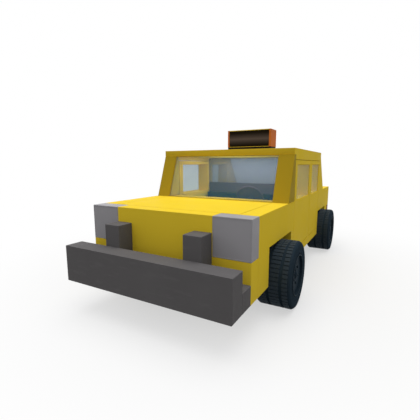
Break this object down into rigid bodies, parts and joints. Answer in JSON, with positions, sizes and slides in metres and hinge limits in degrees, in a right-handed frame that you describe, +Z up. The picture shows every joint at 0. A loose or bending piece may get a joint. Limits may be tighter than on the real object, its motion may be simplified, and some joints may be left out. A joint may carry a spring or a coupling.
{
  "type": "taxi cab",
  "caption": "Square-cut four-door taxi cab on a ladder frame, with opening doors, hood and boot lid, steered front wheels, bench seats and a blank roof sign.",
  "frame": {"origin": "on the road, midway between the cab's sides and between the bumpers' ends", "axes": "+Z up, +Y towards the tail, +X towards the cab's left"},
  "size_m": [2.174, 4.629, 1.982],
  "materials": {
    "yellow_paint": "gloss",
    "pillar_paint": "satin",
    "bumper_grey": "matte",
    "lamp_lens": "satin",
    "tail_lens": "gloss",
    "window_glass": "clear",
    "tyre_rubber": "matte",
    "wheel_paint": "satin",
    "chassis_black": "matte",
    "axle_steel": "matte",
    "engine_iron": "matte",
    "seat_cover": "woven",
    "cabin_plastic": "matte",
    "sign_black": "matte",
    "sign_orange": "satin"
  },
  "bodies": {
    "body": {"sills": "yellow_paint", "front_fenders": "yellow_paint", "rear_quarters": "yellow_paint", "front_panel": "yellow_paint", "rear_panel": "yellow_paint", "roof_panel": "yellow_paint", "centre_pillars": "yellow_paint", "front_bulkhead": "yellow_paint", "windscreen_pillars": "pillar_paint", "front_bumper_bar": "bumper_grey", "front_valance": "bumper_grey", "bumper_guards": "bumper_grey", "rear_bumper": "bumper_grey", "headlamps": "lamp_lens", "tail_lamps": "tail_lens", "windscreen_glass": "window_glass", "rear_glass": "window_glass", "partition_glass": "window_glass", "chassis_rails": "chassis_black", "cross_members": "chassis_black", "floor_pan": "chassis_black", "wheel_liners": "chassis_black", "rear_bulkhead": "chassis_black", "seat_risers": "chassis_black", "front_axle_beam": "axle_steel", "rear_axle": "axle_steel", "engine_block": "engine_iron", "front_seat_cushion": "seat_cover", "front_seat_back": "seat_cover", "rear_seat_cushion": "seat_cover", "rear_seat_back": "seat_cover", "dashboard": "cabin_plastic", "partition_panel": "cabin_plastic", "roof_sign_base": "sign_black", "roof_sign_faces": "sign_black", "roof_sign_case": "sign_orange"},
    "front_door_left": {"front_door_left": "yellow_paint", "front_door_glass_left": "window_glass"},
    "front_door_right": {"front_door_right": "yellow_paint", "front_door_glass_right": "window_glass"},
    "rear_door_left": {"rear_door_left": "yellow_paint", "rear_door_glass_left": "window_glass"},
    "rear_door_right": {"rear_door_right": "yellow_paint", "rear_door_glass_right": "window_glass"},
    "hood": {"hood": "yellow_paint"},
    "boot_lid": {"boot_lid": "yellow_paint"},
    "steering_wheel": {"steering_wheel": "cabin_plastic"},
    "knuckle_left": {"knuckle_left": "axle_steel"},
    "knuckle_right": {"knuckle_right": "axle_steel"},
    "front_wheel_left": {"front_tyre_left": "tyre_rubber", "front_rim_left": "wheel_paint"},
    "front_wheel_right": {"front_tyre_right": "tyre_rubber", "front_rim_right": "wheel_paint"},
    "rear_wheel_left": {"rear_tyre_left": "tyre_rubber", "rear_rim_left": "wheel_paint"},
    "rear_wheel_right": {"rear_tyre_right": "tyre_rubber", "rear_rim_right": "wheel_paint"}
  },
  "joints": [
    {"name": "front_door_left_swing", "type": "hinge", "parent": "body", "child": "front_door_left", "pos_m": [0.888, -0.59951, 0.985], "axis": [0, 0, -1], "range_deg": [0, 65]},
    {"name": "rear_door_left_swing", "type": "hinge", "parent": "body", "child": "rear_door_left", "pos_m": [0.888, 0.31849, 0.985], "axis": [0, 0, -1], "range_deg": [0, 65]},
    {"name": "front_door_right_swing", "type": "hinge", "parent": "body", "child": "front_door_right", "pos_m": [-0.888, -0.59951, 0.985], "axis": [0, 0, 1], "range_deg": [0, 65]},
    {"name": "rear_door_right_swing", "type": "hinge", "parent": "body", "child": "rear_door_right", "pos_m": [-0.888, 0.31849, 0.985], "axis": [0, 0, 1], "range_deg": [0, 65]},
    {"name": "hood_lift", "type": "hinge", "parent": "body", "child": "hood", "pos_m": [0, -0.89751, 1.031], "axis": [-1, 0, 0], "range_deg": [0, 60]},
    {"name": "boot_lift", "type": "hinge", "parent": "body", "child": "boot_lid", "pos_m": [0, 1.45149, 1.031], "axis": [1, 0, 0], "range_deg": [0, 70]},
    {"name": "steer_left", "type": "hinge", "parent": "body", "child": "knuckle_left", "pos_m": [0.907, -1.10949, 0.35], "axis": [0, 0, 1], "range_deg": [-30, 30]},
    {"name": "steer_right", "type": "hinge", "parent": "body", "child": "knuckle_right", "pos_m": [-0.907, -1.10949, 0.35], "axis": [0, 0, 1], "range_deg": [-30, 30]},
    {"name": "steering_wheel_turn", "type": "hinge", "parent": "body", "child": "steering_wheel", "pos_m": [0.287, -0.45691, 1.02], "axis": [0, 0.9397, 0.342], "range_deg": [-360, 360]},
    {"name": "front_wheel_left_roll", "type": "hinge", "parent": "knuckle_left", "child": "front_wheel_left", "pos_m": [0.907, -1.10949, 0.35], "axis": [1, 0, 0], "continuous": true},
    {"name": "rear_wheel_left_roll", "type": "hinge", "parent": "body", "child": "rear_wheel_left", "pos_m": [0.907, 1.37049, 0.35], "axis": [1, 0, 0], "continuous": true},
    {"name": "front_wheel_right_roll", "type": "hinge", "parent": "knuckle_right", "child": "front_wheel_right", "pos_m": [-0.907, -1.10949, 0.35], "axis": [1, 0, 0], "continuous": true},
    {"name": "rear_wheel_right_roll", "type": "hinge", "parent": "body", "child": "rear_wheel_right", "pos_m": [-0.907, 1.37049, 0.35], "axis": [1, 0, 0], "continuous": true}
  ],
  "couplings": [
    {"joint": "steer_right", "follows": "steer_left", "ratio": 1},
    {"joint": "steering_wheel_turn", "follows": "steer_left", "ratio": 12}
  ]
}
